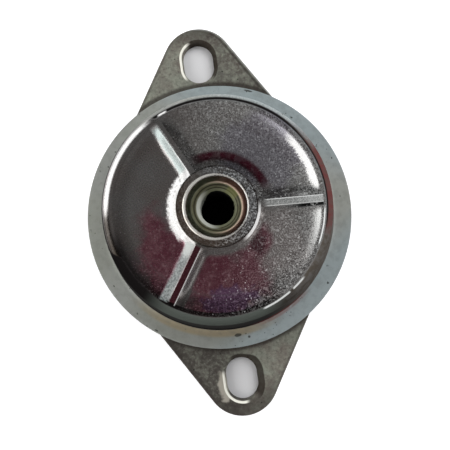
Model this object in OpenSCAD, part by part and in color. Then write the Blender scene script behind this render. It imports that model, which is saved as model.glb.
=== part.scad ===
/* [Base plate] */
// Distance between the two bolt slots, centre to centre
slot_pitch = 110; // [106:1:130]
// Width of each slot
slot_w = 10.5; // [9:0.5:12]
// Length of each slot, end to end
slot_l = 14; // [13:0.5:16]
// Radius of the rolled edge round each slot
slot_roll = 1.25; // [0.25:0.25:1.5]
// Radius of the plate's two ends
end_r = 12.3; // [11.5:0.1:15]
// Radius of the plate's round middle
middle_r = 41; // [38:0.5:43]
// Thickness of the plate's sheet
plate_t = 3; // [2.5:0.25:3.5]

/* [Raised collar of the plate] */
// Height of the collar's top above the floor
collar_h = 16; // [15:0.5:18]
// Radius of the collar's flat top
collar_r = 21; // [20:0.5:22]
// Lean of the collar's wall, in degrees from upright
collar_lean = 26; // [20:1:32]
// Bend radius inside the collar's top edge
collar_bend = 1.5; // [1:0.25:2.5]
// Bend radius above the collar's foot
collar_foot = 3; // [2:0.25:4]
// Radius of the hole through the collar's top
collar_hole_r = 13.5; // [13:0.25:14.5]

/* [Cap] */
// Thickness of the cap's sheet
cap_t = 2; // [1.5:0.25:2.5]
// Height of the crest and of the ribs' flat tops above the floor
crest_h = 36; // [34:0.5:40]
// Radius where the crest begins
crest_r = 31; // [29:0.2:32]
// Width of the crest's flat land
crest_land = 0.2; // [0.1:0.1:1]
// Bend radius inside the crest, on the panel's side
crest_bend = 0.4; // [0.2:0.1:1.5]
// Depth of the dished panels below the crest
panel_drop = 2.2; // [1.5:0.1:3]
// Radius of the sweep from a panel up to the crest
panel_sweep = 12; // [5:0.5:14]
// Bend radius inside the shoulder
shoulder_bend = 0.5; // [0.3:0.1:2]
// Lean of the cap's wall, in degrees from upright
wall_lean = 10; // [7:1:14]
// Bend radius above the wall's foot
wall_foot = 1.6; // [1:0.1:3]
// Radius of the brim
brim_r = 43.5; // [42:0.5:47]
// Height of the brim's upper edge above the floor
brim_h = 11.5; // [10:0.5:13]
// Fall of the brim, in degrees
brim_fall = 12; // [5:1:25]

/* [Ribs and hub of the cap] */
// Number of radial ribs
rib_n = 3; // [2:1:6]
// Width of a rib's flat top
rib_w = 1.8; // [1.6:0.1:3]
// Turn of the ribs about the axis, in degrees
rib_turn = -3; // [-60:1:60]
// Slope of a rib's flanks, in degrees
rib_slope = 44; // [30:1:50]
// Blend radius where a flank runs out into the panel
rib_blend = 3.5; // [1.5:0.25:4]
// Height of the hub's seat above the panels
hub_rise = 1.7; // [0.8:0.1:2]
// How far the flat of the hub's seat ends inside the head's rim
hub_inset = 0.9; // [0.5:0.1:1.5]
// Radius of the sweep from a panel up to the hub
hub_sweep = 4.5; // [2:0.5:6]
// Bend radius inside the hub's edge
hub_bend = 0.4; // [0.3:0.1:1]

/* [Threaded boss] */
// Radius of the boss's head
head_r = 11.8; // [11.4:0.1:13]
// Thickness of the boss's head
head_t = 2.2; // [2:0.1:4]
// Radius of the shank
shank_r = 9.4; // [9:0.1:9.8]
// Radius of the threaded hole at the thread's crests
thread_r = 5.1; // [4.2:0.1:5.4]
// Radius of the countersink in the head
mouth_r = 8.7; // [8.2:0.1:9]
// Width of the raised lip round the countersink
lip_w = 1.2; // [0.8:0.1:1.6]
// Height of the raised lip above the head
lip_h = 0.3; // [0.1:0.05:0.4]
// Radius of the ledge inside the countersink
ledge_r = 7.6; // [7:0.1:8]
// Depth of each of the countersink's two cones
mouth_step = 2.4; // [1.6:0.1:3]
// Radius of the end that is riveted over the washer
rivet_r = 9; // [8.6:0.1:9.6]
// Height of the riveted rim below the washer
rivet_t = 1.2; // [0.8:0.1:1.4]

/* [Rebound washer] */
// Radius of the washer
washer_r = 18; // [17:0.5:19]
// Thickness of the washer
washer_t = 2.5; // [2:0.25:3]
// Radius of the washer's hole
washer_hole_r = 7.8; // [7.4:0.1:8.2]

/* [Rubber] */
// Free rise of the cap before the washer meets the rebound pad
rebound_gap = 1.5; // [1:0.25:2]
// Thickness of the rebound pad under the collar
pad_t = 3; // [2.5:0.25:3.5]
// Radius of the rebound pad
pad_r = 19; // [18:0.5:19.5]
// Thickness of the rubber inside the collar's hole
sleeve_t = 2; // [1.5:0.25:2.5]
// Thickness of the rubber on the collar's top
top_pad_t = 2.5; // [2:0.25:4]
// Height where the rubber ends on the cap's wall
rubber_top = 30; // [27:0.5:31]
// Radius where the rubber ends on the plate
rubber_foot_r = 35; // [34:0.5:37]
// Hollow of the rubber's outer face
outer_hollow = 2.6; // [1.5:0.1:4]
// Hollow of the rubber's inner face
inner_hollow = 3; // [2:0.1:4]

/* [Hidden] */
$fn = 96;
// Facets in a bend of the sheets, in a rib's blend and in a rubber face
bend_n = 6;
blend_n = 5;
face_n = 10;
// Clearance between the shank and the cap's hole, and round the washer's spigot
shank_gap = 0.05;
// Clearance between the boss's head and the ribs' inner ends
head_gap = 0.1;
// Bond line between the rubber and the cap
bond_gap = 0.1;
// Edge breaks of the turned boss and of the washer
edge_break = 0.4;
// Least half width of the hollow under a rib
rib_hollow = 0.05;
// How far a cutting solid passes the face that it cuts
past = 1;

// Colours of the finishes
plate_colour = [0.52, 0.52, 0.48];
cap_colour = [0.66, 0.68, 0.68];
boss_colour = [0.72, 0.72, 0.68];
washer_colour = [0.55, 0.55, 0.52];
rubber_colour = [0.07, 0.07, 0.07];

// Points on an arc about c, from angle a to angle b
function arc(c, r, a, b, n = bend_n) =
    [for (i = [0:n]) let (t = a + (b - a) * i / n) c + r * [cos(t), sin(t)]];

// Unit vector at angle a
function unit(a) = [cos(a), sin(a)];

// Point c with c * n1 = a1 and c * n2 = a2
function meet(n1, a1, n2, a2) =
    let (det = n1[0] * n2[1] - n1[1] * n2[0])
    [a1 * n2[1] - a2 * n1[1], n1[0] * a2 - n2[0] * a1] / det;

// Points of a shallow arc from p to q that bows by sag to the left of the way from p to q
function bow(p, q, sag, n = face_n) =
    let (way = q - p, span = norm(way), side = [-way[1], way[0]] / span)
    [for (i = [0:n]) let (t = i / n) p + way * t + side * sag * 4 * t * (1 - t)];

function reverse(v) = [for (i = [len(v) - 1:-1:0]) v[i]];

// Turn of an S-bend that climbs h over two arcs of radius ra and rb, and its run
function s_turn(h, ra, rb) = acos(1 - h / (ra + rb));
function s_run(h, ra, rb) = (ra + rb) * sin(s_turn(h, ra, rb));

// Collar of the plate: the upper skin at depth 0, the lower skin at depth plate_t
collar_out = collar_bend + plate_t;
collar_top_c = [collar_r, collar_h - collar_out];
collar_foot_c = meet(unit(collar_lean), collar_top_c * unit(collar_lean) + collar_out + collar_foot,
                     [0, 1], plate_t + collar_foot);
function collar_skin(depth) = concat(
    [[collar_hole_r, collar_h - depth]],
    arc(collar_top_c, collar_out - depth, 90, collar_lean),
    arc(collar_foot_c, collar_foot + depth, 180 + collar_lean, 270));

// Cap: the upper skin at depth 0, the lower skin at depth cap_t
panel_h = crest_h - panel_drop;
hub_h = panel_h + hub_rise;
hub_r = head_r - hub_inset;
hub_out = hub_bend + cap_t;
hub_turn = s_turn(hub_rise, hub_sweep, hub_out);
hub_run = s_run(hub_rise, hub_sweep, hub_out);
crest_out = crest_bend + cap_t;
crest_turn = s_turn(panel_drop, panel_sweep, crest_out);
crest_run = s_run(panel_drop, panel_sweep, crest_out);
shoulder_out = shoulder_bend + cap_t;
shoulder_c = [crest_r + crest_land, crest_h - shoulder_out];
brim_up = unit(90 - brim_fall);
brim_edge = [brim_r, brim_h];
wall_out = unit(wall_lean);
foot_c = meet(wall_out, shoulder_c * wall_out + shoulder_out + wall_foot,
              brim_up, brim_edge * brim_up + wall_foot);
function cap_skin(depth) = concat(
    [[0, hub_h - depth]],
    arc([hub_r, hub_h - hub_out], hub_out - depth, 90, 90 - hub_turn),
    arc([hub_r + hub_run, panel_h + hub_sweep], hub_sweep + depth, 270 - hub_turn, 270),
    arc([crest_r - crest_run, panel_h + panel_sweep], panel_sweep + depth, 270, 270 + crest_turn),
    arc([crest_r, crest_h - crest_out], crest_out - depth, 90 + crest_turn, 90),
    arc(shoulder_c, shoulder_out - depth, 90, wall_lean, 2 * bend_n),
    arc(foot_c, wall_foot + depth, 180 + wall_lean, 270 - brim_fall),
    [brim_edge - depth * brim_up]);

// Radius of the cap's wall at height h, at a depth below its outer skin
function wall_r(h, depth) =
    (shoulder_c * wall_out + shoulder_out - depth - h * wall_out[1]) / wall_out[0];

// Height where the wall's straight part ends above the foot
wall_low = foot_c[1] - wall_foot * wall_out[1];

// Half section of a rib, from its middle out to the panel, at a depth below its outer skin
rib_reach = rib_w / 2
    + (panel_drop * cos(rib_slope) + rib_blend * (1 - cos(rib_slope))) / sin(rib_slope);
function rib_half(depth) = concat(
    [[max(rib_w / 2 - depth * tan(rib_slope / 2), rib_hollow), crest_h - depth]],
    arc([rib_reach, panel_h + rib_blend], rib_blend + depth, 270 - rib_slope, 270, blend_n));
function mirrored(v) = [for (p = v) [-p[0], p[1]]];

// Heights along the boss and the washer
boss_h = hub_h + head_t;
lip_bend = (lip_w * lip_w / 4 + lip_h * lip_h) / (2 * lip_h);
lip_c = [mouth_r + lip_w / 2, boss_h + lip_h - lip_bend];
lip_turn = acos(1 - lip_h / lip_bend);
washer_top = collar_h - plate_t - pad_t - rebound_gap;
washer_low = washer_top - washer_t;
boss_low = washer_low - rivet_t;

// Rhombic outline of the plate: a round middle, two round ends and the lines that touch both
module plate_outline() {
    touch = asin((middle_r - end_r) / (slot_pitch / 2));
    circle(middle_r);
    for (s = [-1, 1])
        translate([0, s * slot_pitch / 2])
            circle(end_r);
    polygon([
        for (q = [[1, 1], [-1, 1], [-1, -1], [1, -1]])
            let (n = [q[0] * cos(touch), q[1] * sin(touch)], tip = [0, q[1] * slot_pitch / 2])
            each q[0] * q[1] > 0 ? [n * middle_r, tip + n * end_r] : [tip + n * end_r, n * middle_r]
    ]);
}

// Half section of a slot, straight below and rolled over above
slot_half = concat(
    [[slot_w / 2, -past]],
    arc([slot_w / 2 + slot_roll, plate_t - slot_roll], slot_roll, 180, 90),
    [[slot_w / 2 + slot_roll, plate_t + past]]);

// Bolt slot along Y, right through the plate
module slot() {
    straight = slot_l - slot_w;
    for (s = [-1, 1])
        translate([0, s * straight / 2, 0])
            rotate_extrude()
                polygon(concat([[0, -past]], slot_half, [[0, plate_t + past]]));
    rotate([90, 0, 0])
        linear_extrude(straight, center = true)
            polygon(concat(slot_half, reverse(mirrored(slot_half))));
}

// Pressed plate with its raised collar
module base_plate() {
    color(plate_colour)
        difference() {
            union() {
                linear_extrude(plate_t)
                    plate_outline();
                rotate_extrude()
                    polygon(concat([[0, collar_h]], collar_skin(0), [[collar_foot_c[0], 0], [0, 0]]));
            }
            rotate_extrude()
                polygon(concat([[0, collar_h - plate_t]], collar_skin(plate_t),
                               [[collar_foot_c[0], -past], [0, -past]]));
            cylinder(r = collar_hole_r, h = collar_h + past);
            for (s = [-1, 1])
                translate([0, s * slot_pitch / 2, 0])
                    slot();
        }
}

// Bonded rubber: a leaning ring between the collar and the cap's wall, that runs through the
// collar's hole into the rebound pad underneath
module rubber_element() {
    skin = cap_t + bond_gap;
    sleeve_r = collar_hole_r - sleeve_t;
    under = collar_h - plate_t;
    top = collar_h + top_pad_t;
    outer_low = [wall_r(wall_low, skin), wall_low];
    outer_top = [wall_r(rubber_top, skin), rubber_top];
    color(rubber_colour)
        rotate_extrude()
            polygon(concat(
                bow([collar_r, top], outer_top, -inner_hollow),
                bow(outer_low, [rubber_foot_r, plate_t], -outer_hollow),
                reverse(collar_skin(0)),
                [[collar_hole_r, under], [pad_r, under], [pad_r, under - pad_t],
                 [sleeve_r, under - pad_t], [sleeve_r, top]]));
}

// One rib's prism, from the axis out to a radius, at a depth below the outer skin
module rib(depth, inner_r, outer_r) {
    base_h = panel_h - depth;
    rotate([90, 0, 90])
        translate([0, 0, inner_r])
            linear_extrude(outer_r - inner_r)
                polygon(concat(rib_half(depth), [[rib_reach, base_h - cap_t / 2]],
                               reverse(mirrored(concat(rib_half(depth), [[rib_reach, base_h - cap_t / 2]])))));
}

module ribs(depth, inner_r) {
    for (i = [0:rib_n - 1])
        rotate(rib_turn + i * 360 / rib_n)
            rib(depth, inner_r, crest_r + crest_land / 2);
}

// Bell-shaped cap pressed from one sheet
module cap() {
    outer = cap_skin(0);
    inner = cap_skin(cap_t);
    lip = inner[len(inner) - 1];
    color(cap_colour)
        difference() {
            union() {
                rotate_extrude()
                    polygon(concat(outer, [lip, [0, lip[1]]]));
                ribs(0, shank_r);
            }
            rotate_extrude()
                polygon(concat(inner, [[lip[0], lip[1] - past], [0, lip[1] - past]]));
            ribs(cap_t, hub_r + hub_run);
            translate([0, 0, hub_h])
                cylinder(r = head_r + head_gap, h = head_t);
            cylinder(r = shank_r + shank_gap, h = boss_h);
        }
}

// Turned boss with a threaded hole right through, riveted over at its lower end
module threaded_boss() {
    color(boss_colour)
        rotate_extrude()
            polygon(concat(arc(lip_c, lip_bend, 90 + lip_turn, 90 - lip_turn), [
                [head_r - edge_break, boss_h],
                [head_r, boss_h - edge_break],
                [head_r, hub_h],
                [shank_r, hub_h],
                [shank_r, washer_top],
                [washer_hole_r - shank_gap, washer_top],
                [washer_hole_r - shank_gap, washer_low],
                [rivet_r, washer_low],
                [rivet_r - edge_break, boss_low],
                [thread_r + edge_break, boss_low],
                [thread_r, boss_low + edge_break],
                [thread_r, boss_h - 2 * mouth_step],
                [ledge_r - edge_break, boss_h - mouth_step],
                [ledge_r, boss_h - mouth_step],
            ]));
}

// Flat washer that stops the cap from being pulled off the plate
module rebound_washer() {
    color(washer_colour)
        rotate_extrude()
            polygon([
                [washer_hole_r, washer_low],
                [washer_r - edge_break, washer_low],
                [washer_r, washer_low + edge_break],
                [washer_r, washer_top - edge_break],
                [washer_r - edge_break, washer_top],
                [washer_hole_r, washer_top],
            ]);
}

base_plate();
rubber_element();
cap();
threaded_boss();
rebound_washer();
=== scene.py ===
import math

import bpy
import bmesh
from mathutils import Matrix, Vector


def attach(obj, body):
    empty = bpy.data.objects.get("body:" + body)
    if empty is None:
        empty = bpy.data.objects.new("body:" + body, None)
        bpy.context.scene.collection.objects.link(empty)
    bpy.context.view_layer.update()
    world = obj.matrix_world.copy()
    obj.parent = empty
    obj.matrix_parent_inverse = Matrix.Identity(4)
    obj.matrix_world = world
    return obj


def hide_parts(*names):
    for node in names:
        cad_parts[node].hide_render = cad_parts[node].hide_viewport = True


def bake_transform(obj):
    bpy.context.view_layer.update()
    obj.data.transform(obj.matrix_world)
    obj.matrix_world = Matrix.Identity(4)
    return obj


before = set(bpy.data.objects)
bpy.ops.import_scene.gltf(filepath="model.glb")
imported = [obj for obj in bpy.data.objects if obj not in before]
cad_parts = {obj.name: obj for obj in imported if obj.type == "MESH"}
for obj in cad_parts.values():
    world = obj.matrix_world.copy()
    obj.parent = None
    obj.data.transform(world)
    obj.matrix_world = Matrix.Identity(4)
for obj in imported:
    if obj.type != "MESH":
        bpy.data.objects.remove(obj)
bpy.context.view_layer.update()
mm = 0.001  # sizes below are in millimetres, Blender's are in metres
print("frame loaded")


# a profile is a list of points (radius, height) in millimetres

def arc(centre, radius, start, end, steps):
    points = []
    for i in range(steps + 1):
        a = math.radians(start + (end - start) * i / steps)
        points.append((centre[0] + radius * math.cos(a), centre[1] + radius * math.sin(a)))
    return points


def unit(angle):
    return (math.cos(math.radians(angle)), math.sin(math.radians(angle)))


def dot(a, b):
    return a[0] * b[0] + a[1] * b[1]


def meet(n1, a1, n2, a2):  # the point whose distances along two normals are known
    det = n1[0] * n2[1] - n1[1] * n2[0]
    return ((a1 * n2[1] - a2 * n1[1]) / det, (n1[0] * a2 - n2[0] * a1) / det)


def bow(start, end, sag, steps):  # shallow curve that swells to the left of its way
    dx, dz = end[0] - start[0], end[1] - start[1]
    span = math.hypot(dx, dz)
    points = []
    for i in range(steps + 1):
        t = i / steps
        lift = sag * 4 * t * (1 - t) / span
        points.append((start[0] + dx * t - dz * lift, start[1] + dz * t + dx * lift))
    return points


def roundCorner(before, corner, after, radius, steps=4):  # rounds one corner of a profile
    def toward(target):
        dx, dz = target[0] - corner[0], target[1] - corner[1]
        span = math.hypot(dx, dz)
        return (corner[0] + dx / span * radius, corner[1] + dz / span * radius)
    a, b = toward(before), toward(after)
    points = []
    for i in range(steps + 1):
        t = i / steps
        points.append(tuple(a[k] * (1 - t) ** 2 + 2 * corner[k] * t * (1 - t) + b[k] * t * t for k in (0, 1)))
    return points


def softProfile(corners, closed=True):  # corners are (radius, height, rounding)
    points = []
    count = len(corners)
    for i, (r, z, rounding) in enumerate(corners):
        inside = closed or 0 < i < count - 1
        if rounding and inside:
            before, after = corners[i - 1][:2], corners[(i + 1) % count][:2]
            points += roundCorner(before, (r, z), after, rounding)
        else:
            points.append((r, z))
    return points


def addObject(name, data):
    made = bpy.data.objects.new(name, data)
    bpy.context.scene.collection.objects.link(made)
    return made


class Shape:  # collects the vertices and faces of one piece
    def __init__(self):
        self.points = []
        self.faces = []

    def ring(self, points):
        start = len(self.points)
        self.points += [(x * mm, y * mm, z * mm) for x, y, z in points]
        return list(range(start, len(self.points)))

    def bridge(self, lower, upper):
        count = len(lower)
        for i in range(count):
            j = (i + 1) % count
            self.faces.append((lower[i], lower[j], upper[j], upper[i]))

    def piece(self, name, finish, nodes, levelNormals=True):
        mesh = bpy.data.meshes.new(name)
        mesh.from_pydata(self.points, [], self.faces)
        work = bmesh.new()
        work.from_mesh(mesh)
        bmesh.ops.remove_doubles(work, verts=work.verts, dist=1e-7)
        bmesh.ops.recalc_face_normals(work, faces=work.faces)
        work.to_mesh(mesh)
        work.free()
        mesh.shade_smooth()
        mesh.materials.append(finish.material)
        made = addObject(name, mesh)
        if levelNormals:  # flat faces stay flat beside their rounded edges
            weighted = made.modifiers.new("levelNormals", "WEIGHTED_NORMAL")
            weighted.weight = 80
            weighted.keep_sharp = True
        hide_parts(*nodes)
        return made


def around(count):
    return [2 * math.pi * i / count for i in range(count)]


def circle(radius, height, count):
    return [(radius * math.cos(a), radius * math.sin(a), height) for a in around(count)]


def revolve(shape, profile, segments, closed=True):
    rings = [shape.ring(circle(r, z, segments)) for r, z in profile]
    for a, b in zip(rings, rings[1:]):
        shape.bridge(a, b)
    if closed:
        shape.bridge(rings[-1], rings[0])
    return rings


class Wire:  # one value in a material, with arithmetic written as Python
    def __init__(self, finish, socket):
        self.finish = finish
        self.socket = socket

    def maths(self, operation, first, second=0.0):
        return self.finish.node("ShaderNodeMath", {"operation": operation}, {0: first, 1: second})

    def __add__(self, other):
        return self.maths("ADD", self, other)

    __radd__ = __add__

    def __mul__(self, other):
        return self.maths("MULTIPLY", self, other)

    __rmul__ = __mul__

    def __sub__(self, other):
        return self.maths("SUBTRACT", self, other)

    def __rsub__(self, other):
        return self.maths("SUBTRACT", other, self)

    def __truediv__(self, other):
        return self.maths("DIVIDE", self, other)

    def __pow__(self, other):
        return self.maths("POWER", self, other)

    def __abs__(self):
        return self.maths("ABSOLUTE", self)

    def most(self, other):
        return self.maths("MAXIMUM", self, other)

    def ramp(self, low, high):  # 0 at low, 1 at high, smooth between
        return self.finish.node("ShaderNodeMapRange", {"interpolation_type": "SMOOTHSTEP"},
                                {"Value": self, "From Min": low, "From Max": high})

    def band(self, centre, halfWidth, soft):  # 1 inside a band, 0 outside
        return 1 - abs(self - centre).ramp(halfWidth, halfWidth + soft)


class Finish:  # one procedural material, in millimetres of the object's own space
    def __init__(self, name, world=None):
        self.material = world or bpy.data.materials.new(name)
        self.material.use_nodes = True
        self.tree = self.material.node_tree
        self.tree.nodes.clear()
        if not world:
            self.place = self.scale(self.node("ShaderNodeTexCoord", out="Object"), 1 / mm)

    def node(self, kind, settings=None, values=None, out=0):
        made = self.tree.nodes.new(kind)
        for key, value in (settings or {}).items():
            setattr(made, key, value)
        for key, value in (values or {}).items():
            if isinstance(value, Wire):
                self.tree.links.new(value.socket, made.inputs[key])
            else:
                made.inputs[key].default_value = value
        return Wire(self, made.outputs[out]) if made.outputs else None

    def scale(self, vector, factor):
        return self.node("ShaderNodeVectorMath", {"operation": "SCALE"}, {0: vector, "Scale": factor})

    def axes(self):
        return [self.node("ShaderNodeSeparateXYZ", None, {0: self.place}, out=i) for i in range(3)]

    def texture(self, kind, size, shift, **values):  # a pattern whose features are about one size wide
        where = self.scale(self.place, 1 / size)
        where = self.node("ShaderNodeVectorMath", {"operation": "ADD"}, {0: where, 1: shift})
        return self.node(kind, None, {"Vector": where, "Scale": 1.0, **values})

    def noise(self, size, detail=2.0, rough=0.5, shift=(0, 0, 0)):
        return self.texture("ShaderNodeTexNoise", size, shift, Detail=detail, Roughness=rough)

    def cells(self, size, shift=(0, 0, 0)):  # the distance to scattered points
        return self.texture("ShaderNodeTexVoronoi", size, shift)

    def mix(self, amount, first, second):
        first, second = [c if isinstance(c, Wire) else (*c, 1.0) for c in (first, second)]
        return self.node("ShaderNodeMix", {"data_type": "RGBA"}, {0: amount, 6: first, 7: second}, out=2)

    def shaders(self, amount, first, second):
        return self.node("ShaderNodeMixShader", None, {0: amount, 1: first, 2: second})

    def spot(self, centre, halves, wander, soft=0.25):  # 1 inside a soft ellipse with a wandering edge
        x, y = self.axes()[:2]
        across, along = (x - centre[0]) / halves[0], (y - centre[1]) / halves[1]
        return 1 - ((across * across + along * along) ** 0.5 + wander).ramp(1 - soft, 1 + soft)

    def bump(self, height, distance):
        values = {"Height": height, "Distance": distance * mm, "Strength": 1.0}
        return self.node("ShaderNodeBump", None, values)

    def surface(self, colour, roughness, normal, metallic=1.0, glare=0.5):
        shader = self.node("ShaderNodeBsdfPrincipled", None, {
            "Base Color": colour, "Roughness": roughness, "Normal": normal,
            "Metallic": metallic, "Specular IOR Level": glare})
        self.node("ShaderNodeOutputMaterial", None, {"Surface": shader})
        return self


camera = {
    "lens": 46.4, "sensor": 36, "nearest": 5,
    "place": (2.4, -18.4, 201.4), "aim": (1.5, -4.2, 20.0), "roll": 7.9,
}
lamps = {  # only the sky isn't mirrored: the photograph shows no highlight where it would be
    "window": {"place": (-510, -60, 310), "size": (430, 760), "watts": 2.3, "colour": (1.0, 1.0, 0.99)},
    "door": {"place": (430, -330, 280), "size": (150, 170), "watts": 0.08, "colour": (1.0, 0.98, 0.96)},
    "sky": {"place": (420, 340, 520), "size": (500, 500), "watts": 4.0, "colour": (0.97, 0.99, 1.0)},
    "pane": {"place": (-450, 378, 150), "size": (120, 300), "watts": 0.18, "colour": (1.0, 1.0, 1.0)},
}
room = {
    "ambient": 0.42, "seen": 1.0, "tentRadius": 900, "floorRadius": 3000, "floorHeight": -0.05,
    "lift": 0.6, "slotTone": 0.82, "underBore": (8, 12), "underPlate": (33, 39),
    "slotSide": (7.5, 8.5), "slotEnd": (64, 65), "floorSegments": 96, "tentSegments": 48, "tentRows": 16,
}
middleHeight = 20  # of the part, where the lamps point


def pointAt(made, place, aim, roll=0.0):
    place, aim = Vector(place) * mm, Vector(aim) * mm
    look = (aim - place).normalized()
    up = Vector((math.sin(math.radians(roll)), math.cos(math.radians(roll)), 0))
    side = look.cross(up).normalized()
    up = side.cross(look)
    basis = Matrix((side, up, -look)).transposed().to_4x4()
    basis.translation = place
    made.matrix_world = basis


def makeCamera():
    lens = bpy.data.cameras.new("photoCamera")
    lens.lens = camera["lens"]
    lens.sensor_width = camera["sensor"]
    lens.clip_start = camera["nearest"] * mm
    made = addObject("photoCamera", lens)
    pointAt(made, camera["place"], camera["aim"], camera["roll"])
    bpy.context.scene.camera = made


def makeLamps():
    for name, facts in lamps.items():
        light = bpy.data.lights.new(name, "AREA")
        light.shape = "RECTANGLE"
        light.size, light.size_y = facts["size"][0] * mm, facts["size"][1] * mm
        light.energy = facts["watts"]
        light.color = facts["colour"]
        made = addObject(name, light)
        made.visible_glossy = name != "sky"
        pointAt(made, facts["place"], (0, 0, middleHeight))


def pathRays(finish):  # 1 for rays that should meet the white background
    seen = finish.node("ShaderNodeLightPath", out="Is Camera Ray")
    for kind in ("Is Glossy Ray", "Is Transmission Ray"):
        seen = seen.most(finish.node("ShaderNodeLightPath", out=kind))
    return seen


def stageSheet(name, shape, finish):  # part of the room, not of the object
    mesh = bpy.data.meshes.new(name)
    mesh.from_pydata(shape.points, [], shape.faces)
    mesh.shade_smooth()
    mesh.materials.append(finish.material)
    made = addObject(name, mesh)
    return made


def makeWorld():
    bpy.context.scene.world = bpy.data.worlds.new("paleRoom")
    paint = Finish("paleRoom", bpy.context.scene.world)
    plain, white = [paint.node("ShaderNodeBackground", None, {0: (1, 1, 1, 1), 1: room[key]})
                    for key in ("ambient", "seen")]
    paint.node("ShaderNodeOutputWorld", None, {0: paint.shaders(pathRays(paint), plain, white)})


def makeFloor():
    shape = Shape()
    shape.faces.append(shape.ring(circle(room["floorRadius"], room["floorHeight"], room["floorSegments"])))
    paint = Finish("floorPaper")
    x, y = paint.axes()[:2]
    away = (x * x + y * y) ** 0.5
    beyond = away.ramp(*room["underPlate"])
    slots = (1 - abs(x).ramp(*room["slotSide"])) * (1 - abs(y).ramp(*room["slotEnd"])) * beyond
    # the floor seen through the slots is painted a little darker: painted shade under the plate
    paper = paint.mix(slots, (0.8, 0.79, 0.81), tuple(room["slotTone"] * c for c in (0.8, 0.79, 0.8)))
    paper = paint.mix(away.ramp(*room["underBore"]), (0.02, 0.02, 0.02), paper)  # no light gets in there
    matt = paint.node("ShaderNodeBsdfDiffuse", None, {"Color": paper})
    lift = paint.node("ShaderNodeEmission", None, {"Color": (1, 1, 1, 1), "Strength": room["lift"]})
    both = paint.node("ShaderNodeAddShader", None, {0: matt, 1: lift})
    amount = pathRays(paint) * beyond * (1 - slots)  # no lift under the plate, so its holes stay natural
    paint.node("ShaderNodeOutputMaterial", None, {0: paint.shaders(amount, matt, both)})
    stageSheet("floor", shape, paint)


def makeTent():  # the dim room that the metal mirrors
    shape = Shape()
    rings = []
    for i in range(room["tentRows"]):
        turned = math.pi / 2 * i / room["tentRows"]
        reach, height = room["tentRadius"] * math.cos(turned), room["tentRadius"] * math.sin(turned)
        rings.append(shape.ring(circle(reach, height, room["tentSegments"])))
    for a, b in zip(rings, rings[1:]):
        shape.bridge(a, b)
    shape.faces.append(tuple(rings[-1]))
    paint = Finish("tentCloth")
    x, y, z = [axis / room["tentRadius"] for axis in paint.axes()]
    tone = paint.mix(z.ramp(0.0, 0.5), (0.17, 0.16, 0.155), (0.13, 0.12, 0.117))
    tone = paint.mix(x.ramp(0.15, 0.45), tone, (0.1, 0.095, 0.092))
    tone = paint.mix(y.ramp(0.1, 0.45), tone, (0.05, 0.048, 0.047))
    above = (y * 0.8 + x * 0.4).ramp(0.0, 0.3) * z.ramp(0.88, 0.97)
    tone = paint.mix(above, tone, (0.2, 0.2, 0.195))
    corner = (x * 0.77 - y * 0.64).ramp(0.45, 0.85) * z.ramp(0.1, 0.35)
    tone = paint.mix(corner, tone, (0.17, 0.16, 0.155))
    glow = paint.node("ShaderNodeEmission", None, {"Color": tone, "Strength": 1.0})
    paint.node("ShaderNodeOutputMaterial", None, {0: glow})
    tent = stageSheet("greyTent", shape, paint)
    tent.visible_camera = False
    tent.visible_diffuse = False
    tent.visible_shadow = False
    tent.visible_transmission = False


makeCamera()
makeLamps()
makeWorld()
makeFloor()
makeTent()
bpy.context.scene.view_settings.view_transform = "Standard"
print("camera, lamps and room ready")


cap = {
    "sheet": 2, "crestHeight": 36, "crestRadius": 31, "crestLand": 0.2, "crestBend": 0.4,
    "panelDrop": 2.2, "panelSweep": 12, "shoulderBend": 0.5, "wallLean": 10, "wallFoot": 1.6,
    "brimRadius": 43.5, "brimHeight": 11.5, "brimFall": 12,
    "ribs": 3, "ribWidth": 1.8, "ribTurn": -3, "ribSlope": 44, "ribBlend": 3.5, "ribEdge": 0.2,
    "hubRise": 1.7, "hubInset": 0.9, "hubSweep": 4.5, "hubBend": 0.4, "bore": 9.45,
    "lipEdges": (0.35, 0.2), "brimSteps": 7,
}
boss = {
    "headRadius": 11.8, "headHeight": 2.2, "shank": 9.4, "mouth": 8.7, "lipWidth": 1.2, "lipHeight": 0.3,
    "ledge": 7.6, "mouthStep": 2.4,
    "core": 5.1, "major": 6.0, "pitch": 1.75, "rivet": 9.0, "rivetDepth": 1.2, "spigot": 7.75, "edge": 0.4,
    "grooveWidth": 1.15, "grooveSlope": 1.45, "segments": 144, "rowsPerTurn": 12, "runIn": 6, "runOut": 2,
}
washer = {
    "bore": 7.8, "radius": 18.0, "bottom": 6.0, "top": 8.5, "boreEdge": 0.1, "edge": 0.4, "segments": 144,
}


def sBend(rise, first, second):  # turn in degrees and run of an S-bend of two arcs
    angle = math.acos(1 - rise / (first + second))
    return math.degrees(angle), (first + second) * math.sin(angle)


panelHeight = cap["crestHeight"] - cap["panelDrop"]
hubHeight = panelHeight + cap["hubRise"]
hubRadius = boss["headRadius"] - cap["hubInset"]
bossHeight = hubHeight + boss["headHeight"]
shoulderSteps = 12


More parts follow.
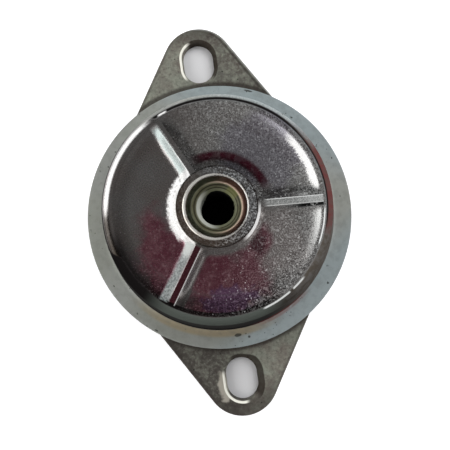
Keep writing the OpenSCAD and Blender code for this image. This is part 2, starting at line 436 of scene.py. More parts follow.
def capSkin(depth):  # top, side and lip of a profile that lies some depth inside the sheet
    c = cap
    hubOut = c["hubBend"] + c["sheet"]
    hubTurn, hubRun = sBend(c["hubRise"], c["hubSweep"], hubOut)
    crestOut = c["crestBend"] + c["sheet"]
    crestTurn, crestRun = sBend(c["panelDrop"], c["panelSweep"], crestOut)
    shoulderOut = c["shoulderBend"] + c["sheet"]
    shoulder = (c["crestRadius"] + c["crestLand"], c["crestHeight"] - shoulderOut)
    brimUp, wallOut = unit(90 - c["brimFall"]), unit(c["wallLean"])
    edge = (c["brimRadius"], c["brimHeight"])
    foot = meet(wallOut, dot(shoulder, wallOut) + shoulderOut + c["wallFoot"],
                brimUp, dot(edge, brimUp) + c["wallFoot"])
    top = [(c["bore"], hubHeight - depth)]
    top += arc((hubRadius, hubHeight - hubOut), hubOut - depth, 90, 90 - hubTurn, 5)
    inner, outer = hubRadius + hubRun, c["crestRadius"] - crestRun
    top += arc((inner, panelHeight + c["hubSweep"]), c["hubSweep"] + depth, 270 - hubTurn, 270, 8)
    top += [(inner + (outer - inner) * i / 10, panelHeight - depth) for i in range(1, 10)]
    top += arc((outer, panelHeight + c["panelSweep"]), c["panelSweep"] + depth, 270, 270 + crestTurn, 9)
    top += arc((c["crestRadius"], c["crestHeight"] - crestOut), crestOut - depth, 90 + crestTurn, 90, 5)
    side = arc(shoulder, shoulderOut - depth, 90, c["wallLean"], shoulderSteps)
    side += arc(foot, c["wallFoot"] + depth, 180 + c["wallLean"], 270 - c["brimFall"], 8)
    lip = (edge[0] - depth * brimUp[0], edge[1] - depth * brimUp[1])
    return top, side, lip


def ribLift(away):  # a rib's height above the panel at a distance from its middle
    slope = math.tan(math.radians(cap["ribSlope"]))
    drop, blend, edge = cap["panelDrop"], cap["ribBlend"], cap["ribEdge"]
    turnCos, turnSin = unit(cap["ribSlope"])
    reach = cap["ribWidth"] / 2 + (drop * turnCos + blend * (1 - turnCos)) / turnSin
    past = away - cap["ribWidth"] / 2
    if past < -edge:
        return drop
    if past < edge:
        return drop - slope * (past + edge) ** 2 / (4 * edge)
    if away < reach - blend * turnSin:
        return drop - slope * past
    if away < reach:
        return blend - math.sqrt(blend ** 2 - (reach - away) ** 2)
    return 0.0


def capAngles(radius):  # columns that run along the ribs, then fan out between them
    offsets = [0.0, 0.35, 0.7, 0.8, 0.9, 1.0, 1.1, 1.4, 1.75, 2.1, 2.45, 2.8, 3.2, 3.6, 4.0, 4.5]
    offsets = [-d for d in reversed(offsets[1:])] + offsets
    between = 58  # columns
    angles = []
    for k in range(cap["ribs"]):
        middle = math.radians(cap["ribTurn"] + 360 / cap["ribs"] * k)
        angles += [(middle + math.asin(d / radius), abs(d)) for d in offsets]
        start = math.asin(offsets[-1] / radius)
        span = 2 * math.pi / cap["ribs"] - 2 * start
        angles += [(middle + start + span * i / between, None) for i in range(1, between)]
    return angles


def capRing(radius, height, ribbed=True, ceiling=math.inf):
    points = []
    for angle, away in capAngles(radius):
        lift = (height - panelHeight) / cap["panelDrop"]
        if ribbed and away is not None:
            rib = ribLift(away) / cap["panelDrop"]
            lift = lift + rib - max(lift, 0) * rib  # the rib swells out of the panel, level with the crest
        z = min(panelHeight + lift * cap["panelDrop"], ceiling)
        points.append((radius * math.cos(angle), radius * math.sin(angle), z))
    return points


def splitProfile(profile, radius):  # the points inside a radius, those outside, and the point on it
    inside = [p for p in profile if p[0] < radius]
    outside = [p for p in profile if p[0] >= radius]
    a, b = inside[-1], outside[0]
    t = (radius - a[0]) / (b[0] - a[0])
    return inside, outside, (radius, a[1] + (b[1] - a[1]) * t)


def makeCap(finish):
    shape = Shape()
    steps = cap["brimSteps"]
    top, side, lip = capSkin(0)
    justOutside = 0.1  # of the boss's head, under which the ribs are cut off level with the hub
    inside, outside, seam = splitProfile(top, boss["headRadius"] + justOutside)
    rings = [shape.ring(capRing(r, z, ceiling=hubHeight)) for r, z in inside + [seam]]
    rings += [shape.ring(capRing(r, z)) for r, z in [seam] + outside]
    rings += [shape.ring(capRing(r, z, ribbed=False)) for r, z in side[1:]]
    innerTop, innerSide, innerLip = capSkin(cap["sheet"])
    lastOut, lastIn = side[-1], innerSide[-1]
    flat = [(lastOut[0] + (lip[0] - lastOut[0]) * i / steps, lastOut[1] + (lip[1] - lastOut[1]) * i / steps)
            for i in range(1, steps)]
    upEdge, lowEdge = cap["lipEdges"]
    edge = roundCorner(lastOut, lip, innerLip, upEdge) + roundCorner(lip, innerLip, lastIn, lowEdge)
    back = (innerTop + innerSide)[::-1]
    rings += [shape.ring(capRing(r, z, ribbed=False)) for r, z in flat + edge + back]
    for a, b in zip(rings, rings[1:]):
        shape.bridge(a, b)
    shape.bridge(rings[-1], rings[0])
    made = shape.piece("bellCap", finish, ["cap"], levelNormals=False)
    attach(made, "bell")


# centre and half sizes of the wine red patches, which are painted reflection; angle, distance, length and
# width of the brim's nicks
capRedReflections = [((-16, -12.8), (8, 12)), ((-1.3, -21), (12.5, 12.5)), ((10.2, -11.2), (3.4, 5.2))]
capNicks = [(75, 39.8, 1.1, 0.5), (69, 42.7, 1.7, 0.35), (-89, 39.4, 1.3, 0.6), (-84, 40.6, 0.5, 0.5)]


def ribSide(x, y, k):  # the distance to one side of a rib's middle line, and the distance along it
    c, s = unit(cap["ribTurn"] + 360 / cap["ribs"] * k)
    return y * c - x * s, x * c + y * s


def compass(x, y, away):
    def toward(angle):  # 1 in one direction from the axis, 0 across it, -1 behind
        c, s = unit(angle)
        return (x * c + y * s) / away
    return toward


def brimColour(f, away, blots, mottle):
    x, y = f.axes()[:2]
    toward = compass(x, y, away)
    cloud = f.noise(16, 1.0, 0.5, shift=(2, 9, 4))
    pale = f.mix(cloud.ramp(0.35, 0.65), (0.3, 0.31, 0.28), (0.34, 0.35, 0.33))
    # paler towards +x and bluish at the top and right: painted light and painted sky reflection
    pale = f.mix(x.ramp(10, 40) * 0.4, pale, (0.5, 0.5, 0.47))
    blue = (y + x * 0.6).ramp(28, 42).most((x * 0.6 - y * 0.8).ramp(26, 38))
    pale = f.mix(blue * 0.8, pale, (0.36, 0.42, 0.44))
    pale = f.mix(x.ramp(-20, -34) * y.ramp(8, 20) * 0.6, pale, (0.26, 0.265, 0.25))
    # a tan band towards -y: painted reflection
    tan = away.band(38.2, 0.8, 1.2) * (y * -1).ramp(20, 34) * (1 - x.ramp(2, 18))
    pale = f.mix(tan * 0.8, pale, (0.34, 0.28, 0.18))
    orange = away.band(37.6, 0.3, 0.7) * toward(-63).ramp(0.95, 0.99) * blots.ramp(0.3, 0.5)
    pale = f.mix(orange * 0.5, pale, (0.25, 0.09, 0.07))
    pale = f.mix(mottle.ramp(0.4, 0.7) * 0.25, pale, (0.16, 0.17, 0.15))
    nicks = f.noise(1.3, 1.0, 0.5, shift=(3, 8, 2)).ramp(0.7, 0.72).most(1 - f.cells(2.2).ramp(0.06, 0.1))
    nicks = nicks * f.noise(7, 0.0).ramp(0.48, 0.58)
    for angle, far, along, across in capNicks:
        c, s = unit(angle)
        spot = ((x * c + y * s - far) / across) ** 2 + ((y * c - x * s) / along) ** 2
        nicks = (1 - (spot + (blots - 0.5) * 2).ramp(0.5, 1.0)).most(nicks)
    return f.mix(nicks * 0.85, pale, (0.05, 0.05, 0.045))


def wallShadeColour(f, away, blots, mottle):  # painted shade and reflection on the wall: dark towards -y, mottled towards +x, with red and green painted reflections
    x, y, z = f.axes()
    toward = compass(x, y, away)
    drift = blots - 0.5  # lets the painted red reflections end unevenly
    shade = f.mix(z.ramp(30, 33), (0.028, 0.027, 0.026), (0.008, 0.007, 0.007))
    # a grey-green band towards -y near the shoulder: painted reflection
    green = toward(-98).ramp(0.76, 0.93) * z.ramp(29, 33)
    shade = f.mix(green, shade, (0.08, 0.09, 0.08))
    # mottled brown-grey towards +x: tone and painted reflection
    tarnishAndReflection = f.mix(mottle.ramp(0.38, 0.6), (0.082, 0.07, 0.058), (0.118, 0.108, 0.1))
    shade = f.mix(toward(-12).ramp(0.45, 0.9), shade, tarnishAndReflection)
    # red near the top towards +x and at the foot towards -y: painted red reflection
    red = (toward(6) + drift * 0.15).ramp(0.87, 0.96) * (z + drift * 6).ramp(31.5, 33.5)
    red = red * (0.5 + mottle.ramp(0.4, 0.6) * 0.5)
    footRed = (toward(-66) + drift * 0.08).ramp(0.95, 0.99) * (1 - (z + drift * 10).ramp(15, 20))
    shade = f.mix(red.most(footRed), shade, (0.13, 0.045, 0.043))
    # painted shade: black at the foot towards -x -y, and a black line at the wall's top towards +x
    blackShade = toward(-128).ramp(0.5, 0.82) * (1 - z.ramp(15, 23)) * 0.8
    blackShade = blackShade.most(toward(16).ramp(0.75, 0.9) * (1 - away.ramp(31.7, 32.1)))
    return f.mix(blackShade, shade, (0.004, 0.004, 0.004))


def capFinish():
    f = Finish("brightZinc")
    x, y, z = f.axes()
    away = (x * x + y * y) ** 0.5
    toward = compass(x, y, away)
    patchWander = f.noise(8, 3.0, 0.6, shift=(5.2, 1.3, 0.4)) - 0.5
    grain = f.noise(0.6, 3.0, 0.65)
    fine = f.noise(0.38, 2.0, 0.6, shift=(7, 1, 3))
    blots = f.noise(3, 3.0, 0.6, shift=(1, 1, 7))

    upper = toward(80).ramp(0.52, 0.84)  # where the wall is as pale as the brim
    upper = upper.most(toward(85).ramp(-0.35, 0.9) * (1 - z.ramp(32.6, 34.0)))
    brim = away.ramp(36.0, 37.2) * (1 - z.ramp(13.2, 14.2))
    brim = brim.most(upper * away.ramp(32.1, 32.6))
    glint = toward(163).ramp(0.79, 0.85)  # where the shoulder shines
    glint = glint.most(toward(148).ramp(0.85, 0.9))
    dusk = toward(213).ramp(0.93, 0.99) * fine * 1.1  # where the painted shade of the wall starts early
    # the wall below the shoulder is painted dark: painted shade and painted reflection
    wall = (away - glint * 1.8 + dusk).ramp(31.1, 31.6) * (1 - brim)
    onTop = z.ramp(33.2, 33.7)
    top = onTop * (1 - wall)
    side3, along3 = ribSide(x, y, 0)  # the ribs are named after the clock
    side11, along11 = ribSide(x, y, 1)
    side7, along7 = ribSide(x, y, 2)
    rib3 = along3.ramp(13, 15) * (1 - along3.ramp(30.4, 30.9))
    rib11 = along11.ramp(13, 15) * (1 - along11.ramp(28.5, 30.5))
    rib7 = along7.ramp(12, 13) * (1 - along7.ramp(30.4, 30.9))

    panel = (1 - z.ramp(33.85, 34.3)).most(away.ramp(24, 26) * (1 - side7.band(0, 3.4, 0.6)))

    # zinc of the panels, paler towards +x as painted light, with wine red patches of painted reflection
    zinc = f.mix(f.noise(9).ramp(0.3, 0.7), (0.4, 0.375, 0.365), (0.43, 0.43, 0.43))
    # painted light: paler towards +x and +y
    zinc = f.mix((x * 0.8 + y * 0.4).ramp(-4, 26), zinc, (0.52, 0.525, 0.52))
    lilac = f.spot((16, 15), (12, 12), patchWander * 1.6)
    zinc = f.mix(lilac * 0.7, zinc, (0.36, 0.34, 0.42))
    # wine red patches, one with violet: painted red reflection on the panels
    low = 0.0
    for centre, halves in capRedReflections:
        low = f.spot(centre, halves, patchWander * 1.8, 0.4).most(low)
    low = low * panel
    wine = f.mix(blots.ramp(0.35, 0.65), (0.3, 0.06, 0.11), (0.42, 0.16, 0.21))
    violet = f.spot((0.8, -26.9), (8, 3.5), (blots - 0.5) * 2)
    wine = f.mix(violet * 0.7, wine, (0.3, 0.15, 0.36))
    # a paler pinkish patch: painted light
    pinkish = f.spot((15.2, -13.9), (9, 10), patchWander * 1.2, 0.4)
    zinc = f.mix(pinkish * 0.6, zinc, (0.66, 0.6, 0.59))
    colour = f.mix(low * (fine.ramp(0.3, 0.6) * 0.2 + 0.8), zinc, wine)
    # marks, painted reflection and painted shade on the ribs and round the hub
    # a dark wine patch beside the hub
    darkPatch = f.spot((9.8, -11.4), (2.4, 4.2), (blots - 0.5) * 2, 0.4) * (0.6 + fine.ramp(0.4, 0.6) * 0.4)
    colour = f.mix(darkPatch * 0.75, colour, (0.05, 0.018, 0.028))
    # rib 7: painted red reflection on its top, painted shade on its right flank
    colour = f.mix(side7.band(0, 0.8, 0.15) * rib7, colour, (0.2, 0.06, 0.08))
    colour = f.mix(side7.band(2.3, 0.5, 0.5) * rib7 * 0.5, colour, (0.16, 0.15, 0.15))
    hubArc = toward(62).ramp(0.6, 0.8) * away.band(15.4, 0.7, 1.3)
    colour = f.mix(hubArc * (0.8 + blots.ramp(0.35, 0.55) * 0.2) * top, colour, (0.14, 0.02, 0.045))
    # painted shadow: a dark line under rib 3, darker towards its outer end
    shadeUnderRib3 = side3.band(-1.5, 0.3, 0.45) * rib3 * (0.35 + along3.ramp(17, 25) * 0.65)
    colour = f.mix(shadeUnderRib3, colour, (0.012, 0.012, 0.012))
    # painted shade beside rib 3, fading towards its outer end
    shadeAboveRib3 = side3.band(2.6, 0.9, 1.8) * rib3 * (1 - along3.ramp(21, 27))
    colour = f.mix(shadeAboveRib3 * 0.45, colour, (0.1, 0.075, 0.075))
    # painted shade: the crest and shoulder darkened towards -x -y and towards -y
    gloom = toward(213).ramp(0.86, 0.97) * away.ramp(28, 31) * (1 - side7.band(0, 3, 1))
    gloom = gloom.most(toward(-100).ramp(0.75, 0.85) * away.band(30.8, 0.5, 0.4))
    colour = f.mix(gloom * onTop * 0.96, colour, (0.02, 0.015, 0.016))
    # painted shade where the shoulder's highlight ends
    fade = toward(192).ramp(0.93, 0.985) * away.ramp(30.8, 31.5)
    colour = f.mix(fade * 0.9, colour, (0.04, 0.034, 0.028))
    # painted highlight on rib 7's left flank, whitest near the hub
    flankHighlight7 = (side7 - (grain - 0.5) * 1.6).band(-2.5, 0.9, 0.9) * rib7
    flankLight7 = (grain * 0.5 + fine * 0.5).ramp(0.42, 0.6)
    flankLight7 = f.mix(flankLight7, (0.09, 0.11, 0.11), (0.4, 0.44, 0.43))
    flankLight7 = f.mix((1 - (along7 + (grain - 0.5) * 6).ramp(15, 18)) * 0.8, flankLight7, (0.85, 0.9, 0.87))
    colour = f.mix(flankHighlight7 * 0.75, colour, flankLight7)
    level3 = side3.band(0, 0.75, 0.1) * rib3  # its flat top, painted dark near the hub and lighter towards its outer end as painted shade and highlight
    band3 = f.mix(along3.ramp(22, 30), (0.14, 0.145, 0.14), (0.36, 0.37, 0.36))
    colour = f.mix(level3 * 0.7, colour, band3)

    mottle = f.noise(2.5, 4.0, 0.65, shift=(6, 2, 2))
    colour = f.mix(brim, colour, brimColour(f, away, blots, mottle))
    colour = f.mix(wall, colour, wallShadeColour(f, away, blots, mottle))

    # painted highlights, and worn edges that also carry painted glints
    wearAndGlint = away.band(30.9, 0.1, 0.2) * toward(-18).ramp(0.98, 0.99)
    cut = abs(toward(34)).ramp(0.01, 0.03)
    wearAndGlint = wearAndGlint.most(away.band(31.8, 0.15, 0.2) * toward(-60).ramp(0.97, 0.98) * cut)
    crescent = toward(-30).ramp(0.85, 0.95) * (1 - abs(away - 12.15).ramp(0.35, 0.6))
    wearAndGlint = wearAndGlint.most(abs(side3).band(0.95, 0.08, 0.12) * rib3 * 0.8)
    wearAndGlint = wearAndGlint.most(side7.band(0.95, 0.08, 0.12) * rib7 * 0.7)

    ragged = (fine - 0.5) * 2.4 + (blots - 0.5) * 1.6
    shine = 1 - abs(away + ragged * (1 - away.ramp(28.6, 29.2)) - 28.9).ramp(0.5, 1.3)
    shine = shine * toward(21).ramp(0.94, 0.985) * away.ramp(25, 27)
    streak = away.band(32.0, 0.35, 0.6) * toward(148).ramp(0.86, 0.94)
    streak = streak.most(away.band(31.7, 0.12, 0.3) * toward(112.5).ramp(0.9985, 0.9998) * 0.8)
    flank = (side11 - ragged * 0.6 + along11.ramp(15, 28) * 0.5).band(2.2, 0.7, 0.9) * rib11
    gleam = toward(172).ramp(0.7, 0.8) * (away + ragged * 0.4 + grain * 2.2).band(14.3, 1.0, 1.0)
    gleam = gleam * (1 - f.noise(1.1, 2.0, 0.6, shift=(9, 4, 4)).ramp(0.52, 0.64) * 0.45)
    bright = shine.most(streak).most(flank * 0.6).most(crescent).most(gleam)

    # painted sparkle specks, mostly to the right where the light falls
    share = (x * 0.85 - y * 0.25).ramp(-10, 24).most(y.ramp(8, 20) * x.ramp(-14, 0) * 0.8)
    share = (share * (1 - hubArc * 0.7)).most(low * 0.3) * top
    spark = fine.ramp(0.42, 0.75) * share * (1 - shadeUnderRib3) * (1 - shadeAboveRib3 * 0.5)
    dots = (1 - f.cells(0.9, shift=(4, 4, 9)).ramp(0.14, 0.26)) * f.noise(2, 1.0).ramp(0.45, 0.58) * top
    dots = dots * (share * 0.8 + low * x.ramp(-13, 0) * 0.3 + 0.05)
    flecks = f.noise(0.9, 2.0, 0.6, shift=(2, 6, 1)).ramp(0.57, 0.69) * (share * 0.9 + 0.06)
    sparkleSpecks = (spark * 0.65).most(dots).most(flecks * top * 0.6)
    colour = f.mix(sparkleSpecks.most(wearAndGlint) * 0.8, colour, (0.8, 0.81, 0.8))
    colour = f.mix(bright, colour, f.mix(flank, (0.98, 0.97, 0.96), (0.5, 0.6, 0.59)))
    rough = 0.2 + grain * 0.14 + brim * 0.34 + wall * 0.4 + sparkleSpecks * 0.15 + flankHighlight7 * 0.3
    solid = (brim * 0.65).most(wall).most(sparkleSpecks * 0.6).most(wearAndGlint).most(bright * 0.9)
    metallic = 1 - solid.most(shadeUnderRib3 * 0.6).most(flankHighlight7 * 0.7).most(level3 * 0.6)
    normal = f.bump((grain * 0.7 + fine * 0.4) * (1 - wall), 0.05)
    return f.surface(colour, rough, normal, metallic, glare=0.0)


makeCap(capFinish())
print("cap ready")


def bossProfile():
    b = boss
    top, step, rise = bossHeight, b["mouthStep"], b["lipHeight"]
    seat, under = washer["top"], washer["bottom"]
    end = under - b["rivetDepth"]
    bend = (b["lipWidth"] ** 2 / 4 + rise ** 2) / (2 * rise)
    swing = math.degrees(math.acos(1 - rise / bend))
    lip = arc((b["mouth"] + b["lipWidth"] / 2, top + rise - bend), bend, 90 + swing, 90 - swing, 12)
    return [
        (b["core"], top - 2 * step, 0), (b["ledge"] - b["edge"], top - step, 0.25),
        (b["ledge"], top - step, 0.1), *[(r, z, 0) for r, z in lip], (b["headRadius"], top, 0.35),
        (b["headRadius"], hubHeight, 0), (b["shank"], hubHeight, 0), (b["shank"], seat, 0.2),
        (b["spigot"], seat, 0), (b["spigot"], under, 0), (b["rivet"], under, 0.3),
        (b["rivet"] - b["edge"], end, 0.5), (b["core"] + b["edge"], end, 0.2),
        (b["core"], end + b["edge"], 0),
    ]


def threadRadius(angle, height):
    depth = (height / boss["pitch"] - angle / (2 * math.pi)) % 1.0
    groove = min(1.0, max(0.0, boss["grooveWidth"] - abs(2 * depth - 1) * boss["grooveSlope"]))
    return boss["core"] + (boss["major"] - boss["core"]) * groove


def makeBoss(finish):
    shape = Shape()
    segments = boss["segments"]
    rings = revolve(shape, softProfile(bossProfile(), closed=False), segments, closed=False)
    low = washer["bottom"] - boss["rivetDepth"] + boss["edge"]
    high = bossHeight - 2 * boss["mouthStep"]
    rows = int((high - low) / boss["pitch"] * boss["rowsPerTurn"])
    previous = rings[-1]
    for i in range(1, rows):
        z = low + (high - low) * i / rows
        fade = min(1.0, i / boss["runIn"], (rows - i) / boss["runOut"])  # it starts and ends shallow
        points = []
        for a in around(segments):
            r = boss["core"] + (threadRadius(a, z) - boss["core"]) * fade
            points.append((r * math.cos(a), r * math.sin(a), z))
        current = shape.ring(points)
        shape.bridge(previous, current)
        previous = current
    shape.bridge(previous, rings[0])
    made = shape.piece("threadedBoss", finish, ["threaded_boss"])
    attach(made, "bell")


def bossFinish():
    f = Finish("turnedZinc")
    x, y, z = f.axes()
    away = (x * x + y * y) ** 0.5
    grain = f.noise(0.5, 3.0, 0.6)
    cloud = f.noise(3, 3.0, 0.6)
    toRight = (x / away).ramp(-0.6, 0.6)
    lip = 1 - (abs(away - 9.35 + toRight * 0.3) + toRight * 0.25).ramp(0.25, 0.6)
    lip = (lip - toRight * 0.15) * z.ramp(37.4, 37.7)
    cone = (1 - z.ramp(37.4, 37.7)).most(1 - away.ramp(8.7, 8.8))
    inner = 1 - z.ramp(35.25, 35.4)
    # painted light: the ring is grey towards +x and +y, brown towards -x, with more specks to the right
    ring = f.mix((x + y * 0.5).ramp(-9, 9), (0.27, 0.21, 0.17), (0.4, 0.41, 0.42))
    ring = f.mix(cloud.ramp(0.45, 0.7) * 0.6, ring, (0.18, 0.14, 0.12))
    specks = f.noise(0.45, 3.0, 0.65, shift=(3, 3, 9))
    speckle = specks.ramp(0.5, 0.62) * (0.25 + toRight * 0.45)
    ring = f.mix((1 - specks.ramp(0.38, 0.48)) * (0.3 + toRight * 0.5), ring, (0.1, 0.09, 0.09))
    ring = f.mix(speckle, ring, (0.7, 0.72, 0.73))
    ring = f.mix(away.ramp(11.35, 11.6) * 0.9, ring, (0.04, 0.035, 0.035))
    # the cone is painted lighter on the left and dark brown on the right: painted light and shade
    colour = f.mix(cone, ring, f.mix(toRight, (0.36, 0.38, 0.29), (0.14, 0.065, 0.05)))
    # painted highlight on the lip
    colour = f.mix(lip, colour, f.mix(cloud.ramp(0.55, 0.75) * 0.6, (0.86, 0.84, 0.79), (0.4, 0.3, 0.22)))
    olive = f.mix(away.ramp(5.7, 5.9), (0.3, 0.31, 0.2), (0.14, 0.13, 0.075))
    olive = f.mix(cloud.ramp(0.4, 0.6) * 0.5, olive, (0.24, 0.25, 0.16))
    olive = f.mix(away.band(6.7, 0.1, 0.15).most(away.band(5.95, 0.05, 0.12)), olive, (0.05, 0.045, 0.03))
    yellow = f.spot((4.6, 3.8), (1.9, 1.9), (cloud - 0.5) * 1.2)
    olive = f.mix(yellow * 0.3, olive, (0.36, 0.38, 0.1))
    # the bore's left side is painted pale: painted light
    pale = (x * -1 - y * 0.2).ramp(0.5, 4.5) * (1 - away.ramp(5.9, 6.3))
    olive = f.mix(pale, olive, (0.8, 0.82, 0.74))
    # painted highlight on the ledge's edge, to the right
    olive = f.mix(away.band(7.4, 0.12, 0.2) * toRight, olive, (0.85, 0.66, 0.52))
    deep = z + (x * -1).ramp(1, 4.5) * 10  # painted light and shade: the thread's left side is lit further down, and below that the bore is painted dark
    olive = f.mix(1 - deep.ramp(32.3, 33.0), olive, (0.01, 0.01, 0.01))
    colour = f.mix(inner, colour, olive)
    rough = 0.26 - lip * 0.08 + inner * 0.15 + grain * 0.1
    metallic = 1 - (lip * 0.4).most(inner * 0.5).most(speckle * 0.7)
    normal = f.bump(grain * (1 - lip * 0.8), 0.04)
    return f.surface(colour, rough, normal, metallic)


makeBoss(bossFinish())
print("boss ready")


plate = {
    "slotPitch": 110, "slotWidth": 10.5, "slotLength": 14, "slotRoll": 1.25,
    "endRadius": 12.3, "middleRadius": 41, "sheet": 3,
    "collarHeight": 16, "collarRadius": 21, "collarLean": 26, "collarBend": 1.5, "collarFoot": 3,
    "collarHole": 13.5, "holeEdges": (0.3, 0.2), "roll": 0.5, "rollSteps": 6, "sideRow": 1.0, "burr": 0.12,
    "segments": 180,
}


def plateNormal():  # across and along parts of the normal of the plate's straight edges
    along = (plate["middleRadius"] - plate["endRadius"]) / (plate["slotPitch"] / 2)
    return math.sqrt(1 - along * along), along


def plateOutline(inset):
    p = plate
    touch = math.degrees(math.asin(plateNormal()[1]))
    half = p["slotPitch"] / 2
    points = arc((0, 0), p["middleRadius"] - inset, -touch, touch, 30)
    points += arc((0, half), p["endRadius"] - inset, touch, 180 - touch, 40)
    points += arc((0, 0), p["middleRadius"] - inset, 180 - touch, 180 + touch, 30)
    points += arc((0, -half), p["endRadius"] - inset, 180 + touch, 360 - touch, 40)
    return points


def slotOutline(inset, side):
    half = (plate["slotLength"] - plate["slotWidth"]) / 2
    radius = plate["slotWidth"] / 2 + inset
    middle = side * plate["slotPitch"] / 2
    return arc((0, middle + half), radius, 0, 180, 28) + arc((0, middle - half), radius, 180, 360, 28)


def collarSkin(depth):
    p = plate
    out = p["collarBend"] + p["sheet"]
    lean = unit(p["collarLean"])
    top = (p["collarRadius"], p["collarHeight"] - out)
    foot = meet(lean, dot(top, lean) + out + p["collarFoot"], (0, 1), p["sheet"] + p["collarFoot"])
    points = arc(top, out - depth, 90, p["collarLean"], 12)
    return points + arc(foot, p["collarFoot"] + depth, 180 + p["collarLean"], 270, 12)


def fillFlat(work, loops, upward):  # fills a flat face with holes
    edges = []
    for loop in loops:
        for i, vertex in enumerate(loop):
            other = loop[(i + 1) % len(loop)]
            edges.append(work.edges.get((vertex, other)) or work.edges.new((vertex, other)))
    bmesh.ops.triangle_fill(work, use_beauty=True, use_dissolve=False, edges=edges, normal=(0, 0, upward))


def edgeSteps(roll):  # how far each ring of an edge lies from its straight side, and its height
    turns = [math.pi / 2 * i / plate["rollSteps"] for i in range(plate["rollSteps"] + 1)]
    rolled = [(roll * (1 - math.sin(a)), plate["sheet"] - roll * (1 - math.cos(a))) for a in turns]
    return rolled + [(0, plate["sideRow"]), (0, plate["burr"]), (plate["burr"], 0)]


def makePlate(finish):
    p = plate
    shape = Shape()
    edges = [(plateOutline, p["roll"])]
    edges += [(lambda e, side=side: slotOutline(e, side), p["slotRoll"]) for side in (1, -1)]
    tops, bottoms = [], []
    for outline, roll in edges:
        rings = [shape.ring([(x, y, z) for x, y in outline(e)]) for e, z in edgeSteps(roll)]
        for a, b in zip(rings, rings[1:]):
            shape.bridge(a, b)
        tops.append(rings[0])
        bottoms.append(rings[-1])
    upper, lower = collarSkin(0), collarSkin(p["sheet"])
    r, top, under = p["collarHole"], p["collarHeight"], p["collarHeight"] - p["sheet"]
    upEdge, lowEdge = p["holeEdges"]
    hole = [(r + upEdge, top), (r, top - upEdge), (r, under + lowEdge), (r + lowEdge, under)]
    rings = revolve(shape, upper[::-1] + hole + lower, p["segments"], closed=False)
    tops.append(rings[0])
    bottoms.append(rings[-1])
    mesh = bpy.data.meshes.new("plateFaces")
    mesh.from_pydata(shape.points, [], shape.faces)
    work = bmesh.new()
    work.from_mesh(mesh)
    work.verts.ensure_lookup_table()
    fillFlat(work, [[work.verts[i] for i in loop] for loop in tops], 1)
    fillFlat(work, [[work.verts[i] for i in loop] for loop in bottoms], -1)
    shape.faces = [tuple(v.index for v in face.verts) for face in work.faces]
    work.free()
    made = shape.piece("basePlate", finish, ["base_plate"])
    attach(made, "plate")


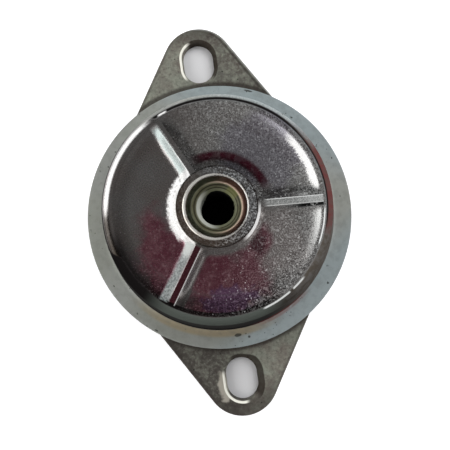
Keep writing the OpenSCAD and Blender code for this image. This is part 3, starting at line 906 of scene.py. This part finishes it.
def plateFinish():
    f = Finish("dullZinc")
    x, y, z = f.axes()
    away = (x * x + y * y) ** 0.5
    half = plate["slotPitch"] / 2
    across, along = plateNormal()
    toEdge = abs(x) * across + abs(y) * along - plate["middleRadius"]
    toEnd = (x * x + (abs(y) - half) ** 2) ** 0.5 - plate["endRadius"]
    rim = toEdge.most(toEnd - (1 - abs(y).ramp(60.5, 62)) * 300)  # the lobe's rim counts at its end only
    above = y.ramp(-26, 26)  # it changes under the cap, out of sight from above
    upperRight = x.ramp(-2, 2) * above
    lowerLeft = (1 - x.ramp(-2, 2)) * (1 - above)

    topSide = z.ramp(0.3, 1.5)
    lower = 1 - y.ramp(-1, 1)
    fromSlot = y - half + lower * (2 * half)
    past = (abs(fromSlot) - (plate["slotLength"] - plate["slotWidth"]) / 2).most(0)
    gap = (x * x + past * past) ** 0.5
    rightSide = ((x * 0.85 + fromSlot * 0.5) / gap).ramp(-0.1, 0.35)
    shaded = (1 - (gap - lower * x.ramp(2, 6) * 0.9).ramp(6.4, 6.8)) * rightSide
    leftSide = ((x * -0.9 + fromSlot * (0.15 - lower * 0.75)) / gap).ramp(0.45, 0.75)
    shiny = gap.band(6.05, 0.3, 0.2) * leftSide * topSide
    patch = f.spot((-6.4, -56.5), (1.7, 4.6), (f.noise(2) - 0.5) * 1.5) * (1 - shiny) * topSide

    cloud = f.noise(7, 3.0, 0.6)
    blot = f.noise(2.6, 4.0, 0.65, shift=(3, 1, 0))
    grain = f.noise(1.0, 4.0, 0.7)
    colour = f.mix(cloud.ramp(0.32, 0.68), (0.23, 0.2, 0.175), (0.3, 0.31, 0.26))
    colour = f.mix((x * y).ramp(-250, 350) * (0.95 - above * 0.35), colour, (0.11, 0.1, 0.09))
    colour = f.mix(blot.ramp(0.42, 0.66) * (0.45 - lowerLeft * 0.15), colour, (0.42, 0.44, 0.36))
    colour = f.mix((1 - grain.ramp(0.3, 0.5)) * 0.5, colour, (0.07, 0.055, 0.05))
    colour = f.mix(grain.ramp(0.5, 0.75) * 0.45, colour, (0.5, 0.52, 0.42))
    tip = (y * -1).ramp(54, 64).most(y.ramp(60, 66) * 0.8)
    # painted shadow of the brim on the plate's top
    brimShadow = (1 - (away + lower * 2).ramp(46.9, 48.2)) * topSide * 1.2
    # painted shade along the rims of the lobes
    edgeShade = rim.band(-1.2, 0.2, 0.4) * upperRight
    edgeShade = edgeShade.most(rim.ramp(-2.6, -0.6) * lowerLeft).most(rim.ramp(-1.4, -0.3) * (1 - upperRight) * 0.8)
    colour = f.mix(tip.most(brimShadow).most(edgeShade) * 0.65, colour, (0.06, 0.05, 0.045))
    # painted highlight along the upper right rims
    colour = f.mix(rim.ramp(-0.7, -0.5) * upperRight * 0.8, colour, (0.4, 0.41, 0.39))
    specks = (1 - f.cells(2.4).ramp(0.08, 0.14)) * f.noise(5, 0.0, shift=(8, 1, 1)).ramp(0.5, 0.6)
    colour = f.mix(specks * 0.8, colour, (0.03, 0.03, 0.028))
    colour = f.mix(patch * 0.8, colour, (0.6, 0.56, 0.48))
    colour = f.mix(shaded * 0.9, colour, (0.022, 0.016, 0.013))
    colour = f.mix(shiny, colour, (0.88, 0.86, 0.77))
    rough = 0.45 + cloud * 0.16
    normal = f.bump(grain * 0.7 + blot * 0.8 - specks * 0.8, 0.05)
    metallic = 0.5 - (shiny * 0.5).most(shaded * 0.5)
    return f.surface(colour, rough, normal, metallic, glare=0.0)


makePlate(plateFinish())
print("base plate ready")


rubber = {
    "bond": 0.1, "top": 30, "footRadius": 35, "topPad": 2.5, "sleeve": 2,
    "pad": 3, "padRadius": 19, "padEdges": (0.6, 0.8), "stopGap": 0.05,
    "outerHollow": 2.6, "innerHollow": 3, "segments": 144, "padSegments": 120,
}


def wallRadius(height, depth):
    c = cap
    out = c["shoulderBend"] + c["sheet"]
    shoulder = (c["crestRadius"] + c["crestLand"], c["crestHeight"] - out)
    n = unit(c["wallLean"])
    return (dot(shoulder, n) + out - depth - height * n[1]) / n[0]


def makeRubber(finish):
    skin = cap["sheet"] + rubber["bond"]
    low = capSkin(0)[1][shoulderSteps + 1][1]  # where the wall ends above its foot
    top = plate["collarHeight"] + rubber["topPad"]
    under = plate["collarHeight"] - plate["sheet"]
    inner = plate["collarHole"] - rubber["sleeve"]
    outline = bow((plate["collarRadius"], top), (wallRadius(rubber["top"], skin), rubber["top"]),
                  -rubber["innerHollow"], 16)
    outline += bow((wallRadius(low, skin), low), (rubber["footRadius"], plate["sheet"]),
                   -rubber["outerHollow"], 20)
    outline += collarSkin(0)[::-1] + [(inner, plate["collarHeight"]), (inner, top)]
    shape = Shape()
    revolve(shape, outline, rubber["segments"])
    ring = shape.piece("rubberRing", finish, ["rubber_element"])
    low * mm
    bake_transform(ring)
    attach(ring, "plate")
    low = under - rubber["pad"] + rubber["stopGap"]  # just clear of the risen washer
    outerEdge, innerEdge = rubber["padEdges"]
    pad = softProfile([
        (inner, plate["collarHeight"], 0), (plate["collarHole"], plate["collarHeight"], 0),
        (plate["collarHole"], under, 0), (rubber["padRadius"], under, 0),
        (rubber["padRadius"], low, outerEdge), (inner, low, innerEdge)])
    shape = Shape()
    revolve(shape, pad, rubber["padSegments"])
    made = shape.piece("reboundPad", finish, ["rubber_element"])
    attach(made, "plate")


def rubberFinish():
    f = Finish("blackRubber")
    cloud = f.noise(6, 3.0, 0.6)
    grain = f.noise(0.4, 3.0, 0.6)
    colour = f.mix(cloud.ramp(0.4, 0.75), (0.018, 0.018, 0.018), (0.045, 0.043, 0.04))
    return f.surface(colour, 0.55 + grain * 0.2, f.bump(grain, 0.02), metallic=0.0)


makeRubber(rubberFinish())
print("rubber ready")


def makeWasher(finish):
    w = washer
    shape = Shape()
    revolve(shape, softProfile([
        (w["bore"], w["bottom"], w["boreEdge"]), (w["radius"], w["bottom"], w["edge"]),
        (w["radius"], w["top"], w["edge"]), (w["bore"], w["top"], w["boreEdge"])]), w["segments"])
    made = shape.piece("reboundWasher", finish, ["rebound_washer"])
    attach(made, "bell")


def washerFinish():
    f = Finish("washerZinc")
    cloud = f.noise(5, 3.0, 0.6)
    grain = f.noise(0.5, 3.0, 0.6)
    colour = f.mix(cloud.ramp(0.35, 0.65), (0.26, 0.25, 0.22), (0.35, 0.35, 0.32))
    return f.surface(colour, 0.38 + grain * 0.15, f.bump(grain * 0.7 + cloud, 0.02))


makeWasher(washerFinish())
print("washer ready")
